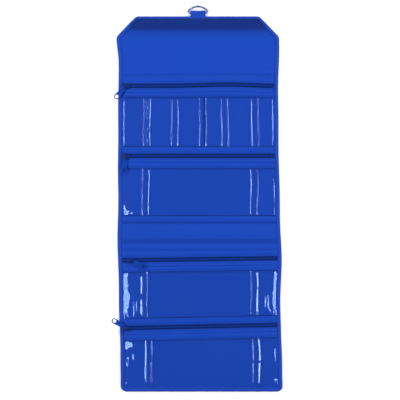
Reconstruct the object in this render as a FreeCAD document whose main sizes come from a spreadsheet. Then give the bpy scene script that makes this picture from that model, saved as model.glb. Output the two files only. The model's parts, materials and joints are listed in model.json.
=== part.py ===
"""Travel jewelry case, laid open: a flap with a hanging ring, two padded panels with four zipped clear
pockets, and a soft spine between the panels. +Z is up, +Y runs towards the ring, and the origin is on
the back of the case, midway between its sides and midway between its two ends."""
import FreeCAD, Part
import Sketcher
import math
import os
import re

# Every driving dimension, in millimetres unless its meaning says otherwise.
# A name that ends in _down is a distance from the case's top edge, measured down the case.
SIZES = {
    "case_width": (241.0, "Width over the bindings"),
    "top_edge": (273.75, "From the origin to the top edge of the flap"),
    "flap_crease_down": (36.0, "Crease between the flap's end and its base"),
    "flap_fold_down": (88.0, "Fold between the flap and the upper panel"),
    "upper_end_down": (309.0, "Lower end of the upper panel"),
    "lower_start_down": (350.0, "Upper end of the lower panel"),
    "case_down": (564.0, "Bottom edge of the case"),
    "corner_width": (29.0, "Width of the flap's cut corner"),
    "corner_length": (31.0, "Length of the flap's cut corner"),
    "bottom_round": (9.0, "Radius of the two bottom corners"),
    "binding_width": (6.0, "Width of the edge binding"),
    "miter": (0.414, "Share of an inset that a half-turned corner moves along its side"),
    "fold_gap": (0.15, "Half the gap between two bodies at a fold"),
    "shell_top": (1.2, "Top of the outer shell, whose back is at 0"),
    "foam_top": (3.4, "Top of the foam"),
    "lining_top": (4.2, "Top of the lining"),
    "spine_lining_top": (2.0, "Top of the lining in the unpadded spine"),
    "binding_top": (4.8, "Top of the binding, and height of the fold axes"),
    "front_base": (5.5, "Underside of the zip tapes and the clear windows"),
    "front_top": (6.1, "Top of the tapes and windows, underside of the bands"),
    "band_top": (7.1, "Top of the pocket bands"),
    "pleat_top": (7.3, "Top of the windows' folded pleats"),
    "front_margin": (6.3, "From the case's side to the end of bands, tapes and windows"),
    "window_lap": (3.0, "Width of window tucked under a band"),
    "channel": (3.6, "Half the open channel between the bands beside a zip"),
    "tape_half": (7.4, "Half the width of a zip tape"),
    "slit": (0.5, "Half the slit between the two sides of a zip"),
    "coil_half": (2.3, "Half the width over the two coils"),
    "coil_top": (7.5, "Top of the coils"),
    "zip_1_down": (105.0, "Centre line of zip 1"),
    "zip_2_down": (210.0, "Centre line of zip 2"),
    "zip_3_down": (365.0, "Centre line of zip 3"),
    "zip_4_down": (465.8, "Centre line of zip 4"),
    "zip_3_slope": (0.014, "Rise of zip 3 to the right, per millimetre"),
    "zip_4_slope": (0.021, "Rise of zip 4 to the right, per millimetre"),
    "window_1_top_down": (121.5, "Window 1's visible top"),
    "window_1_base_down": (196.0, "Window 1's visible bottom"),
    "window_2_top_down": (228.0, "Window 2's visible top"),
    "window_2_base_down": (300.0, "Window 2's visible bottom"),
    "window_3_top_down": (382.5, "Window 3's visible top"),
    "window_3_base_down": (452.0, "Window 3's visible bottom"),
    "window_4_top_down": (484.5, "Window 4's visible top"),
    "window_4_base_down": (557.7, "Window 4's bottom, at the binding"),
    "slider_half": (6.0, "Half the length of a slider"),
    "slider_plate_half": (3.9, "Half the width of a slider's top plate"),
    "slider_inner_half": (2.6, "Half the width inside a slider's flanges"),
    "slider_flange_half": (3.3, "Half the width over a slider's flanges"),
    "slider_web_half": (0.3, "Half the thickness of a slider's neck"),
    "slider_base": (4.45, "Underside of a slider"),
    "slider_base_top": (5.3, "Top of a slider's bottom plate"),
    "slider_flange_base": (6.3, "Underside of a slider's flanges"),
    "slider_roof": (7.75, "Underside of a slider's top plate"),
    "slider_top": (8.75, "Top of a slider's top plate"),
    "link_base": (9.2, "Underside of a pull's link"),
    "link_top": (10.0, "Top of a pull's link"),
    "cap_base": (10.2, "Underside of a slider's round cap"),
    "cap_top": (11.0, "Top of a slider's round cap"),
    "cap_radius": (2.1, "Radius of a slider's round cap"),
    "post_radius": (0.8, "Radius of the post under the cap"),
    "link_eye_radius": (1.9, "Outer radius of a link's eye"),
    "link_bore": (0.87, "Radius of a link's bore round the post"),
    "link_reach": (4.5, "From the post to the pull's cross pin"),
    "pin_radius": (0.4, "Radius of the cross pin"),
    "pin_half": (2.6, "Half the length of the cross pin"),
    "pin_bore": (0.46, "Radius of the tab's bore round the cross pin"),
    "knuckle_radius": (0.75, "Outer radius of the tab's two knuckles"),
    "knuckle_inner": (1.3, "Half the gap between the tab's two knuckles"),
    "link_neck": (1.1, "Half the width of a link's neck between the knuckles"),
    "tab_start": (1.5, "From the cross pin to the start of the tab's plate"),
    "tab_root_half": (2.9, "Half the width of a tab at its knuckles"),
    "tab_end_radius": (4.2, "Radius of a tab's round end"),
    "tab_reach": (17.0, "From the cross pin to the centre of the tab's hole"),
    "tab_hole": (2.7, "Radius of the tab's hole"),
    "tab_half_thickness": (0.5, "Half the thickness of a tab"),
    "wire_radius": (1.6, "Radius of the ring's wire"),
    "ring_bar_rise": (5.3, "From the top edge out to the ring's straight bar"),
    "ring_bar_half": (12.4, "Half the length of the ring's straight bar"),
    "ring_side_rise": (2.6, "Height above the bar at which the ring's sides are widest"),
    "ring_half_width": (14.4, "Half the ring's width, at the middle of its wire"),
    "ring_height": (9.6, "From the bar to the top of the ring, at the middle of its wire"),
    "webbing_half": (11.8, "Half the width of the ring's webbing"),
    "webbing_thickness": (1.4, "Thickness of the webbing"),
    "webbing_tail_down": (9.0, "End of the webbing on the flap"),
    "magnet_radius": (7.5, "Radius of a hidden closing magnet"),
    "magnet_thickness": (1.6, "Thickness of a hidden closing magnet"),
    "magnet_spacing": (60.0, "From the middle of the case to a magnet"),
    "flap_magnet_down": (15.0, "Magnets in the flap"),
    "panel_magnet_down": (545.0, "Magnets in the lower panel"),
}

# Where each slider stands, closed, and the way its pull tab lies (degrees from +X).
SLIDERS = {
    1: (-107.5, -131.0),
    2: (-108.0, -97.0),
    3: (-101.0, -25.0),
    4: (-106.5, 148.0),
}
# Middles of the folded pleats across each window, and half the width of a pleat.
PLEATS = {1: (-77, -35, 7, 40, 85), 2: (-79, 83), 3: (-83, 82), 4: (-78, 83)}
PLEAT_HALF = 5.0
SIDES = (-1, 1)

doc = FreeCAD.newDocument("travel_jewelry_case")
sheet = doc.addObject("Spreadsheet::Sheet", "Sizes")
for row, (alias, (size, meaning)) in enumerate(SIZES.items(), 1):
    sheet.set(f"A{row}", meaning)
    sheet.set(f"B{row}", str(size))
    sheet.setAlias(f"B{row}", alias)
doc.recompute()
pieces = []


def cells(formula):
    """The formula with each driving dimension read from the sheet."""
    return re.sub(r"[a-z]\w*", lambda word: f"Sizes.{word[0]}" if word[0] in SIZES else word[0], formula)


def number(formula):
    """What a formula comes to now."""
    result = sheet.evalExpression(cells(formula))
    return float(getattr(result, "Value", result))


def y_at(down, x="0", slope="0"):
    """The formula for Y at a distance down the case, on a line that rises by slope to the right."""
    return f"top_edge - ({down}) + ({x}) * ({slope})"


def new_body(name):
    """A body for one piece, which is written out under its name."""
    body = doc.addObject("PartDesign::Body", name)
    body.Label = name
    body.AllowCompound = True
    pieces.append(body)
    return body


def new_sketch(body, name, role, height):
    """A sketch on one of the body's own planes, raised by height."""
    sketch = body.newObject("Sketcher::SketchObject", name)
    plane = next(item for item in body.Origin.OriginFeatures if item.Role == role)
    sketch.AttachmentSupport = (plane, [""])
    sketch.MapMode = "FlatFace"
    sketch.setExpression("AttachmentOffset.Base.z", cells(height))
    return sketch


def fix_point(sketch, geometry, position, x, y):
    """Hold a sketch point at two formulas."""
    for kind, formula in (("DistanceX", x), ("DistanceY", y)):
        value = number(formula)
        index = sketch.addConstraint(Sketcher.Constraint(kind, -1, 1, geometry, position, value))
        sketch.setExpression(f"Constraints[{index}]", cells(formula))


def outline(sketch, points):
    """A closed outline of straight sides through points given as pairs of formulas."""
    corners = [FreeCAD.Vector(number(x), number(y), 0) for x, y in points]
    first = sketch.GeometryCount
    for start, end in zip(corners, corners[1:] + corners[:1]):
        sketch.addGeometry(Part.LineSegment(start, end))
    count = len(points)
    for index in range(count):
        following = first + (index + 1) % count
        sketch.addConstraint(Sketcher.Constraint("Coincident", first + index, 2, following, 1))
    for index, (x, y) in enumerate(points):
        fix_point(sketch, first + index, 1, x, y)


def circle(sketch, x, y, radius):
    """A circle whose middle and radius are formulas."""
    middle = FreeCAD.Vector(number(x), number(y), 0)
    index = sketch.addGeometry(Part.Circle(middle, FreeCAD.Vector(0, 0, 1), number(radius)))
    fix_point(sketch, index, 3, x, y)
    size = sketch.addConstraint(Sketcher.Constraint("Radius", index, number(radius)))
    sketch.setExpression(f"Constraints[{size}]", cells(radius))


def grow(body, sketch, length, kind="Pad", both_ways=False):
    """Pad or pocket a sketch by a length formula, and keep the body's tip on it."""
    feature = body.newObject(f"PartDesign::{kind}", f"{sketch.Name}_{kind.lower()}")
    feature.Profile = sketch
    feature.setExpression("Length", cells(length))
    if both_ways:
        feature.SideType = "Symmetric"
    doc.recompute()
    return feature


def slab(body, name, loops, low, high):
    """A flat slab from low to high, over one or more outlines."""
    sketch = new_sketch(body, name, "XY_Plane", low)
    for points in loops:
        outline(sketch, points)
    return grow(body, sketch, f"{high} - ({low})")


def rectangle(left, right, upper, lower):
    """Corners of a rectangle between two X formulas and two Y formulas."""
    return [(left, lower), (right, lower), (right, upper), (left, upper)]


def sloped_band(upper, lower):
    """Corners of a band across the case between two (distance down, slope) lines."""
    half = "(case_width / 2 - front_margin)"
    left, right = f"(-1 * {half})", half
    return [
        (left, y_at(lower[0], left, lower[1])),
        (right, y_at(lower[0], right, lower[1])),
        (right, y_at(upper[0], right, upper[1])),
        (left, y_at(upper[0], left, upper[1])),
    ]


def flap_end_outline(inset):
    """The flap's end: square at its crease, with the two outer corners cut off."""
    side = f"case_width / 2 - ({inset})"
    shoulder = f"case_width / 2 - corner_width - miter * ({inset})"
    crease = y_at("flap_crease_down - fold_gap")
    below = y_at(f"corner_length + miter * ({inset})")
    top = y_at(inset)
    right = [(side, crease), (side, below), (shoulder, top)]
    left = [(f"-({x})", y) for x, y in reversed(right)]
    return right + left


def panel_sheets(panel, loop, foam_holes=()):
    """The shell, foam and lining of one padded panel, over the same outline."""
    levels = {
        "shell": ("0", "shell_top"),
        "foam": ("shell_top", "foam_top"),
        "lining": ("foam_top", "lining_top"),
    }
    for layer, (low, high) in levels.items():
        body = new_body(f"{panel}_{layer}")
        slab(body, f"{panel}_{layer}_outline", [loop], low, high)
        if layer == "foam" and foam_holes:
            sketch = new_sketch(body, f"{panel}_foam_seats", "XY_Plane", high)
            for x, down in foam_holes:
                circle(sketch, x, y_at(down), "magnet_radius")
            grow(body, sketch, f"{high} - ({low})", "Pocket")


def side_bindings(panel, upper, lower):
    """The two straight bindings of a panel between two distances down the case."""
    body = new_body(f"{panel}_binding")
    outer, inner = "case_width / 2", "case_width / 2 - binding_width"
    loops = [
        rectangle(inner, outer, y_at(upper), y_at(lower)),
        rectangle(f"-({outer})", f"-({inner})", y_at(upper), y_at(lower)),
    ]
    slab(body, f"{panel}_binding_outline", loops, "0", "binding_top")


def magnets(name, down):
    """A pair of closing magnets in their seats in the foam."""
    body = new_body(name)
    sketch = new_sketch(body, f"{name}_outline", "XY_Plane", "shell_top")
    for side in SIDES:
        circle(sketch, f"{side} * magnet_spacing", y_at(down), "magnet_radius")
    grow(body, sketch, "magnet_thickness")


def band(name, upper, lower, foot=None):
    """A fabric band across a panel, with a seam down to the lining where it has a foot."""
    body = new_body(name)
    slab(body, f"{name}_outline", [sloped_band(upper, lower)], "front_top", "band_top")
    if foot:
        slab(body, f"{name}_seam", [sloped_band(*foot)], "lining_top", "front_top")


def window(number_of_pocket, upper, lower):
    """A clear window with its folded pleats standing on it."""
    name = f"pocket_{number_of_pocket}_window"
    body = new_body(name)
    slab(body, f"{name}_outline", [sloped_band(upper, lower)], "front_base", "front_top")
    loops = []
    for middle in PLEATS[number_of_pocket]:
        left, right = str(middle - PLEAT_HALF), str(middle + PLEAT_HALF)
        low, high = (f"{lower[0]} - window_lap - 1", f"{upper[0]} + window_lap + 1")
        loops.append(
            [
                (left, y_at(low, left, lower[1])),
                (right, y_at(low, right, lower[1])),
                (right, y_at(high, right, upper[1])),
                (left, y_at(high, left, upper[1])),
            ]
        )
    slab(body, f"{name}_pleats", loops, "front_top", "pleat_top")


def along_zip(body, pocket, x="0", turn=0.0):
    """Place a piece modelled along X on its zip's line, and turn it on the spot."""
    slope = f"zip_{pocket}_slope" if pocket > 2 else "0"
    spot = {"x": x, "y": y_at(f"zip_{pocket}_down", x, slope)}
    body.Placement.Rotation = FreeCAD.Rotation(FreeCAD.Vector(0, 0, 1), 1.0)
    for axis, formula in spot.items():
        body.setExpression(f"Placement.Base.{axis}", cells(formula))
    body.setExpression("Placement.Rotation.Angle", cells(f"{turn} deg + atan({slope})"))


def zip_side_pieces(pocket):
    """A zip's two tapes and two coils, with a slit along the middle that the slider's neck runs in."""
    for part, reach, low, high in (
        ("tape", "tape_half", "front_base", "front_top"),
        ("coil", "coil_half", "front_top", "coil_top"),
    ):
        body = new_body(f"pocket_{pocket}_zip_{part}")
        half = "(case_width / 2 - front_margin)"
        loops = [
            rectangle(f"-1 * {half}", half, reach, "slit"),
            rectangle(f"-1 * {half}", half, "-1 * slit", f"-1 * {reach}"),
        ]
        slab(body, f"pocket_{pocket}_{part}_outline", loops, low, high)
        along_zip(body, pocket)


def slider(pocket):
    """A slider: bottom plate, thin neck in the slit, flanged top plate, and a post with a round cap."""
    body = new_body(f"pocket_{pocket}_slider")
    sketch = new_sketch(body, f"slider_{pocket}_section", "YZ_Plane", "0")
    right = [
        ("slider_flange_half", "slider_base"),
        ("slider_flange_half", "slider_base_top"),
        ("slider_web_half", "slider_base_top"),
        ("slider_web_half", "slider_roof"),
        ("slider_inner_half", "slider_roof"),
        ("slider_inner_half", "slider_flange_base"),
        ("slider_flange_half", "slider_flange_base"),
        ("slider_flange_half", "slider_roof"),
        ("slider_plate_half", "slider_roof"),
        ("slider_plate_half", "slider_top"),
    ]
    left = [(f"-1 * {y}", z) for y, z in reversed(right)]
    outline(sketch, right + left)
    grow(body, sketch, "2 * slider_half", both_ways=True)
    for part, low, high, radius in (
        ("post", "slider_top", "cap_base", "post_radius"),
        ("cap", "cap_base", "cap_top", "cap_radius"),
    ):
        round_part = new_sketch(body, f"slider_{pocket}_{part}", "XY_Plane", low)
        round_part.addGeometry(Part.Circle(FreeCAD.Vector(), FreeCAD.Vector(0, 0, 1), number(radius)))
        round_part.addConstraint(Sketcher.Constraint("Coincident", 0, 3, -1, 1))
        size = round_part.addConstraint(Sketcher.Constraint("Radius", 0, number(radius)))
        round_part.setExpression(f"Constraints[{size}]", cells(radius))
        grow(body, round_part, f"{high} - {low}")
    along_zip(body, pocket, str(SLIDERS[pocket][0]))


def cylinder(name, radius, length, spot, across=False):
    """A cylinder along Z, or along Y when it lies across the pull."""
    item = doc.addObject("Part::Cylinder", name)
    item.setExpression("Radius", cells(radius))
    item.setExpression("Height", cells(length))
    if across:
        item.Placement.Rotation = FreeCAD.Rotation(FreeCAD.Vector(1, 0, 0), -90.0)
    for axis, formula in zip("xyz", spot):
        item.setExpression(f"Placement.Base.{axis}", cells(formula))
    return item


def block(name, low, size):
    """A box from its lowest corner and its three sizes."""
    item = doc.addObject("Part::Box", name)
    for side, formula in zip(("Length", "Width", "Height"), size):
        item.setExpression(side, cells(formula))
    for axis, formula in zip("xyz", low):
        item.setExpression(f"Placement.Base.{axis}", cells(formula))
    return item


def joined(name, solids, cuts=()):
    """One piece made of joined solids, less the cuts."""
    whole = doc.addObject("Part::MultiFuse", f"{name}_solid")
    whole.Shapes = solids
    if cuts:
        removed = doc.addObject("Part::MultiFuse", f"{name}_cuts") if len(cuts) > 1 else cuts[0]
        if len(cuts) > 1:
            removed.Shapes = cuts
        piece = doc.addObject("Part::Cut", name)
        piece.Base, piece.Tool = whole, removed
    else:
        piece = whole
    piece.Label = name
    pieces.append(piece)
    return piece


def pull_link(pocket):
    """The small link that turns on the slider's post and carries the cross pin."""
    name = f"pocket_{pocket}_pull_link"
    thickness = "link_top - link_base"
    middle = "(link_base + link_top) / 2"
    eye = cylinder(f"{name}_eye", "link_eye_radius", thickness, ("0", "0", "link_base"))
    neck_size = ("link_reach", "2 * link_neck", thickness)
    neck = block(f"{name}_neck", ("0", "-1 * link_neck", "link_base"), neck_size)
    pin = cylinder(f"{name}_pin", "pin_radius", "2 * pin_half", ("link_reach", "-1 * pin_half", middle), True)
    bore = cylinder(f"{name}_bore", "link_bore", f"{thickness} + 2", ("0", "0", "link_base - 1"))
    piece = joined(name, [eye, neck, pin], [bore])
    along_zip(piece, pocket, str(SLIDERS[pocket][0]), turn=SLIDERS[pocket][1])


def pull_tab(pocket):
    """The pull tab: two knuckles on the cross pin, a plate that widens, and a round end with a hole."""
    name = f"pocket_{pocket}_pull_tab"
    middle = "(link_base + link_top) / 2"
    plate = doc.addObject("Sketcher::SketchObject", f"{name}_outline")
    plate.setExpression("Placement.Base.z", cells(f"{middle} - tab_half_thickness"))
    outline(
        plate,
        [
            ("link_reach + tab_start", "-1 * tab_root_half"),
            ("link_reach + tab_reach", "-1 * tab_end_radius"),
            ("link_reach + tab_reach", "tab_end_radius"),
            ("link_reach + tab_start", "tab_root_half"),
        ],
    )
    body = doc.addObject("Part::Extrusion", f"{name}_plate")
    body.Base = plate
    body.DirMode = "Custom"
    body.Dir = FreeCAD.Vector(0, 0, 1)
    body.Solid = True
    body.setExpression("LengthFwd", cells("2 * tab_half_thickness"))
    thickness = "2 * tab_half_thickness"
    low = f"{middle} - tab_half_thickness"
    far = "link_reach + tab_reach"
    end = cylinder(f"{name}_end", "tab_end_radius", thickness, (far, "0", low))
    hole = cylinder(f"{name}_hole", "tab_hole", f"{thickness} + 2", (far, "0", f"{low} - 1"))
    solids, cuts = [body, end], [hole]
    for label, start in (("right", "-1 * pin_half"), ("left", "knuckle_inner")):
        length = "pin_half - knuckle_inner"
        place = ("link_reach", start, middle)
        knuckle = cylinder(f"{name}_{label}_knuckle", "knuckle_radius", length, place, True)
        arm_size = ("tab_start + 0.2", length, thickness)
        arm = block(f"{name}_{label}_arm", ("link_reach", start, low), arm_size)
        solids += [knuckle, arm]
    place = ("link_reach", "-1 * pin_half - 1", middle)
    cuts.append(cylinder(f"{name}_bore", "pin_bore", "2 * pin_half + 2", place, True))
    piece = joined(name, solids, cuts)
    along_zip(piece, pocket, str(SLIDERS[pocket][0]), turn=SLIDERS[pocket][1])


def ring_webbing():
    """The webbing loop: round the ring's bar, flat on the flap's front, and sewn to its edge behind."""
    body = new_body("ring_webbing")
    sketch = new_sketch(body, "webbing_section", "YZ_Plane", "0")
    bar = number(y_at("-1 * ring_bar_rise"))
    radius = number("binding_top + webbing_thickness") / 2
    inner = radius - number("webbing_thickness")
    edge, tail = number(y_at("0")), number(y_at("webbing_tail_down"))
    top, bottom = 2 * radius, 0.0
    up = FreeCAD.Vector(bar, top, 0)
    out = FreeCAD.Vector(bar + radius, radius, 0)
    down = FreeCAD.Vector(bar, bottom, 0)
    thickness = number("webbing_thickness")
    in_up = FreeCAD.Vector(bar, top - thickness, 0)
    in_out = FreeCAD.Vector(bar + inner, radius, 0)
    in_down = FreeCAD.Vector(bar, bottom + thickness, 0)
    lines = [
        Part.LineSegment(FreeCAD.Vector(tail, top, 0), up),
        Part.Arc(up, out, down),
        Part.LineSegment(down, FreeCAD.Vector(edge, bottom, 0)),
        Part.LineSegment(FreeCAD.Vector(edge, bottom, 0), FreeCAD.Vector(edge, bottom + thickness, 0)),
        Part.LineSegment(FreeCAD.Vector(edge, bottom + thickness, 0), in_down),
        Part.Arc(in_down, in_out, in_up),
        Part.LineSegment(in_up, FreeCAD.Vector(tail, top - thickness, 0)),
        Part.LineSegment(FreeCAD.Vector(tail, top - thickness, 0), FreeCAD.Vector(tail, top, 0)),
    ]
    sketch.addGeometry(lines)
    grow(body, sketch, "2 * webbing_half", both_ways=True)


def hanging_ring():
    """The wire ring: a straight bar in the webbing, two short corners and one wide arc."""
    y, z = number(y_at("-1 * ring_bar_rise")), number("binding_top + webbing_thickness") / 2
    half, bar = number("ring_half_width"), number("ring_bar_half")
    side, height = number("ring_side_rise"), number("ring_height")

    def at(x, rise):
        return FreeCAD.Vector(x, y + rise, z)

    corner = 0.3  # share of the corner's box that its arc's middle point stands in from the outside
    reach = half - bar
    route = [
        Part.LineSegment(at(-bar, 0), at(bar, 0)),
        Part.Arc(at(bar, 0), at(half - corner * reach, corner * side), at(half, side)),
        Part.Arc(at(half, side), at(0, height), at(-half, side)),
        Part.Arc(at(-half, side), at(-half + corner * reach, corner * side), at(-bar, 0)),
    ]
    spine = Part.Wire([piece.toShape() for piece in route])
    section = Part.Wire(Part.Circle(at(0, 0), FreeCAD.Vector(1, 0, 0), number("wire_radius")).toShape())
    ring = doc.addObject("Part::Feature", "hanging_ring")
    ring.Shape = spine.makePipeShell([section], True, False, 2)
    ring.Label = "hanging_ring"
    pieces.append(ring)


def flap():
    """The flap's end with the ring's webbing, and the flap's base between its two creases."""
    seats = [(f"{side} * magnet_spacing", "flap_magnet_down") for side in SIDES]
    panel_sheets("flap_end", flap_end_outline("binding_width"), seats)
    magnets("flap_magnets", "flap_magnet_down")
    body = new_body("flap_end_binding")
    inner, outer = flap_end_outline("binding_width"), flap_end_outline("0")
    slab(body, "flap_end_binding_outline", [outer + list(reversed(inner))], "0", "binding_top")
    ring_webbing()
    hanging_ring()
    upper, lower = "flap_crease_down + fold_gap", "flap_fold_down - fold_gap"
    panel_sheets("flap_base", panel_loop(upper, lower))
    side_bindings("flap_base", upper, lower)


def panel_loop(upper, lower):
    """The inside of a panel, between its two side bindings."""
    half = "case_width / 2 - binding_width"
    return rectangle(f"-({half})", half, y_at(upper), y_at(lower))


def upper_panel():
    """The upper panel with pockets 1 and 2."""
    upper, lower = "flap_fold_down + fold_gap", "upper_end_down - fold_gap"
    panel_sheets("upper", panel_loop(upper, lower))
    side_bindings("upper", upper, lower)
    level = "0"
    band(
        "pocket_1_header",
        (upper, level),
        ("zip_1_down - channel", level),
        ((f"{upper} + 1", level), (f"{upper} + 6", level)),
    )
    band("pocket_1_band", ("zip_1_down + channel", level), ("window_1_top_down", level))
    band(
        "pocket_1_hem",
        ("window_1_base_down", level),
        ("zip_2_down - channel", level),
        (("window_1_base_down + window_lap + 0.2", level), ("zip_2_down - tape_half - 0.2", level)),
    )
    band("pocket_2_band", ("zip_2_down + channel", level), ("window_2_top_down", level))
    band(
        "pocket_2_hem",
        ("window_2_base_down", level),
        (lower, level),
        (("window_2_base_down + window_lap + 0.5", level), (f"{lower} - 1", level)),
    )
    for pocket in (1, 2):
        window(
            pocket,
            (f"window_{pocket}_top_down - window_lap", level),
            (f"window_{pocket}_base_down + window_lap", level),
        )


def spine():
    """The soft, unpadded spine between the two panels."""
    upper, lower = "upper_end_down + fold_gap", "lower_start_down - fold_gap"
    for layer, low, high in (("shell", "0", "shell_top"), ("lining", "shell_top", "spine_lining_top")):
        slab(new_body(f"spine_{layer}"), f"spine_{layer}_outline", [panel_loop(upper, lower)], low, high)
    side_bindings("spine", upper, lower)


def lower_panel():
    """The lower panel with pockets 3 and 4, and a binding round its bottom corners."""
    upper = "lower_start_down + fold_gap"
    seats = [(f"{side} * magnet_spacing", "panel_magnet_down") for side in SIDES]
    panel_sheets("lower", panel_loop(upper, "case_down - binding_width"), seats)
    magnets("panel_magnets", "panel_magnet_down")
    body = new_body("lower_binding")
    outer, inner = "case_width / 2", "case_width / 2 - binding_width"
    foot = y_at("case_down")
    inner_foot = y_at("case_down - binding_width")
    loop = [
        (f"-({outer})", y_at(upper)),
        (f"-({outer})", foot),
        (outer, foot),
        (outer, y_at(upper)),
        (inner, y_at(upper)),
        (inner, inner_foot),
        (f"-({inner})", inner_foot),
        (f"-({inner})", y_at(upper)),
    ]
    bar = slab(body, "lower_binding_outline", [loop], "0", "binding_top")
    corners = [
        f"Edge{index}"
        for index, edge in enumerate(bar.Shape.Edges, 1)
        if edge.BoundBox.ZLength > 1
        and abs(abs(edge.BoundBox.XMin) - number(outer)) < 0.01
        and abs(edge.BoundBox.YMin - number(foot)) < 0.01
    ]
    rounding = body.newObject("PartDesign::Fillet", "lower_binding_corners")
    rounding.Base = (bar, corners)
    rounding.setExpression("Radius", cells("bottom_round"))
    level, third, fourth = "0", "zip_3_slope", "zip_4_slope"
    band(
        "pocket_3_header",
        (upper, level),
        ("zip_3_down - channel", third),
        ((f"{upper} + 0.5", level), (f"{upper} + 4", level)),
    )
    band("pocket_3_band", ("zip_3_down + channel", third), ("window_3_top_down", third))
    band(
        "pocket_3_hem",
        ("window_3_base_down", fourth),
        ("zip_4_down - channel", fourth),
        (("window_3_base_down + window_lap + 0.2", fourth), ("zip_4_down - tape_half - 0.2", fourth)),
    )
    band("pocket_4_band", ("zip_4_down + channel", fourth), ("window_4_top_down", fourth))
    window(3, ("window_3_top_down - window_lap", third), ("window_3_base_down + window_lap", fourth))
    window(4, ("window_4_top_down - window_lap", fourth), ("window_4_base_down", level))


def check_and_write():
    """Stop on any failed object, then write each piece under its own name."""
    doc.recompute()
    failed = [item.Label for item in doc.Objects if {"Invalid", "Error"} & set(item.State)]
    broken = [piece.Label for piece in pieces if piece.Shape.isNull() or not piece.Shape.isValid()]
    if failed or broken:
        raise RuntimeError(f"failed: {failed}, not valid: {broken}")
    os.makedirs("parts", exist_ok=True)
    for piece in pieces:
        piece.Shape.exportStep(os.path.join("parts", f"{piece.Label}.step"))


flap()
upper_panel()
spine()
lower_panel()
for pocket_number in SLIDERS:
    zip_side_pieces(pocket_number)
    slider(pocket_number)
    pull_link(pocket_number)
    pull_tab(pocket_number)
check_and_write()
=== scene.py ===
"""Looks of a roll-out travel jewelry case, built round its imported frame: padded folding panels with a
bound edge, zipped pockets with clear pleated fronts, coil zips with pull tabs and a hanging ring."""

import json
import math
from contextlib import contextmanager

import bmesh
import bpy
import numpy as np
from bpy.props import FloatProperty, FloatVectorProperty, IntProperty, PointerProperty
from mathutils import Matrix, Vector


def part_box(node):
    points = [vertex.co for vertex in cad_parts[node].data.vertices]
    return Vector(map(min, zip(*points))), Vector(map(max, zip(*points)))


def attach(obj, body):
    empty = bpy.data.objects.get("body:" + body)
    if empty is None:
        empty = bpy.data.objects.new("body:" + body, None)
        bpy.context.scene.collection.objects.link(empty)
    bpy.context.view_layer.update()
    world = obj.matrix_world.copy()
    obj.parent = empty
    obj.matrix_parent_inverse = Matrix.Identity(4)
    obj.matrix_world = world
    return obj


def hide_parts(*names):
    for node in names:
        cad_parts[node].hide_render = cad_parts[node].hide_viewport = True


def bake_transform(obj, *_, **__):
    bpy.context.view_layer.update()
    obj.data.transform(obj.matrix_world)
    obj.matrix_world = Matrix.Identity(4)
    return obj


bl_info = {
    "name": "Travel Jewelry Case",
    "version": (1, 0, 0),
    "blender": (4, 5, 0),
    "location": "View3D > Sidebar > Jewelry Case",
    "description": "Builds the panels, pockets, zips and hanger of a roll-out travel jewelry case",
    "category": "Object",
}

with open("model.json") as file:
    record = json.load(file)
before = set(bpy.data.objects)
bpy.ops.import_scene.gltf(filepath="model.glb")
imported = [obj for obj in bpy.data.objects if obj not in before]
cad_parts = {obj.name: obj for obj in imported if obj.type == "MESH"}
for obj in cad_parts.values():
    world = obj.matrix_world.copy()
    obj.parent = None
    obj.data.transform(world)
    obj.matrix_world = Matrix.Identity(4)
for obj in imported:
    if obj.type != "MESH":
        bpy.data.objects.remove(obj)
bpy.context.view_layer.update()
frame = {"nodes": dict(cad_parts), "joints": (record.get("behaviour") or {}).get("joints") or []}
MM = 0.001


# Places on the flat case, in millimetres, from the frame

def span(node):
    """The lowest and highest corner of a node of the frame."""
    low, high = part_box(node)
    return low / MM, high / MM


def seam(above, below):
    """How far along Y the fold between two neighbouring shells lies."""
    return (span(above)[0].y + span(below)[1].y) / 2


TOP = span("flap_end_binding")[1].y
BOTTOM = span("lower_binding")[0].y
EDGE_HALF = span("upper_binding")[1].x
SHEET_HALF = span("upper_lining")[1].x
POCKET_HALF = span("pocket_1_hem")[1].x
BINDING_WIDTH = EDGE_HALF - SHEET_HALF
PAD_TOP = span("upper_lining")[1].z
EDGE_TOP = span("upper_binding")[1].z
FRONT_LOW = span("pocket_1_window")[0].z
BAND_LOW = span("pocket_2_hem")[1].z - 1.0
CREASE = seam("flap_end_shell", "flap_base_shell")
FLAP_FOLD = seam("flap_base_shell", "upper_shell")
UPPER_FOLD = seam("upper_shell", "spine_shell")
LOWER_FOLD = seam("spine_shell", "lower_shell")
CUT_ACROSS = 29.0
CUT_DOWN = 31.0
BOTTOM_RADIUS = 9.0
NARROWEST_CUT = 10.0  # no band's flat size is stated narrower than this
TURN = 8.0  # about how much cloth bends at each fold
PANEL_OF_POCKET = {1: "upper_panel", 2: "upper_panel", 3: "lower_panel", 4: "lower_panel"}
PLEATS = {1: (-77.0, -35.0, 7.0, 40.0, 85.0), 2: (-79.0, 83.0), 3: (-83.0, 82.0), 4: (-78.0, 83.0)}


def down(distance):
    """The Y of a line that lies this far below the case's top edge."""
    return TOP - distance


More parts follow.
